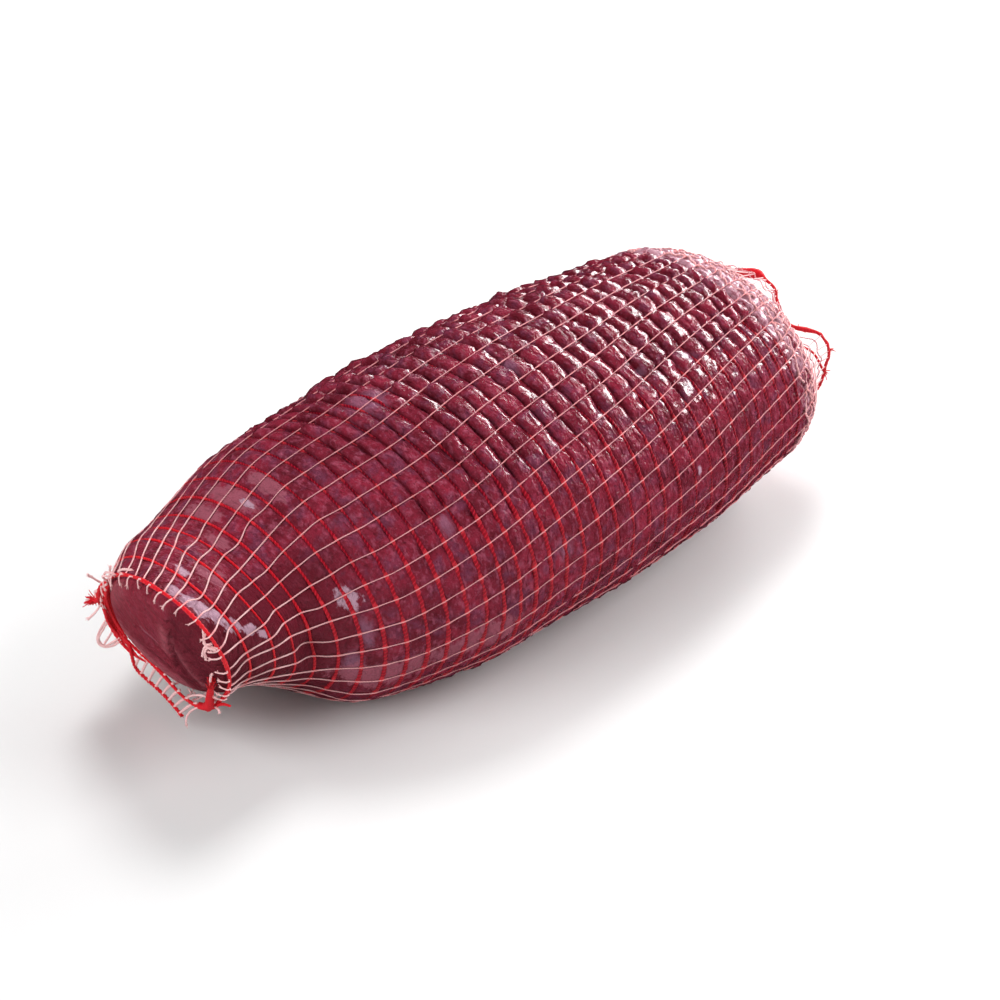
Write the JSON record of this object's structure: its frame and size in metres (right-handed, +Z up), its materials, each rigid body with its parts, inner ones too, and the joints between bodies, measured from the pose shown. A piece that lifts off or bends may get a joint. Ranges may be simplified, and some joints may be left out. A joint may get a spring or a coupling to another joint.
{
  "type": "netted venison leg roast",
  "caption": "Boneless leg roast of dark red raw venison in a tight elastic net, with a cut neck end, a round end and loose net hems, lying on its side.",
  "frame": {"origin": "centre of the whole object's box, on the surface that the roast lies on", "axes": "+X along the roast, from the cut neck end to the round end; +Z up; +Y the side away from the picture's camera"},
  "size_m": [0.3112, 0.1322, 0.1089],
  "materials": {
    "meat": null,
    "net": "knitted elastic thread, bright red hoops with pale pink threads along"
  },
  "bodies": {
    "root": {"netted_roast": "meat", "front_hem": "net", "rear_hem": "net"}
  },
  "joints": []
}
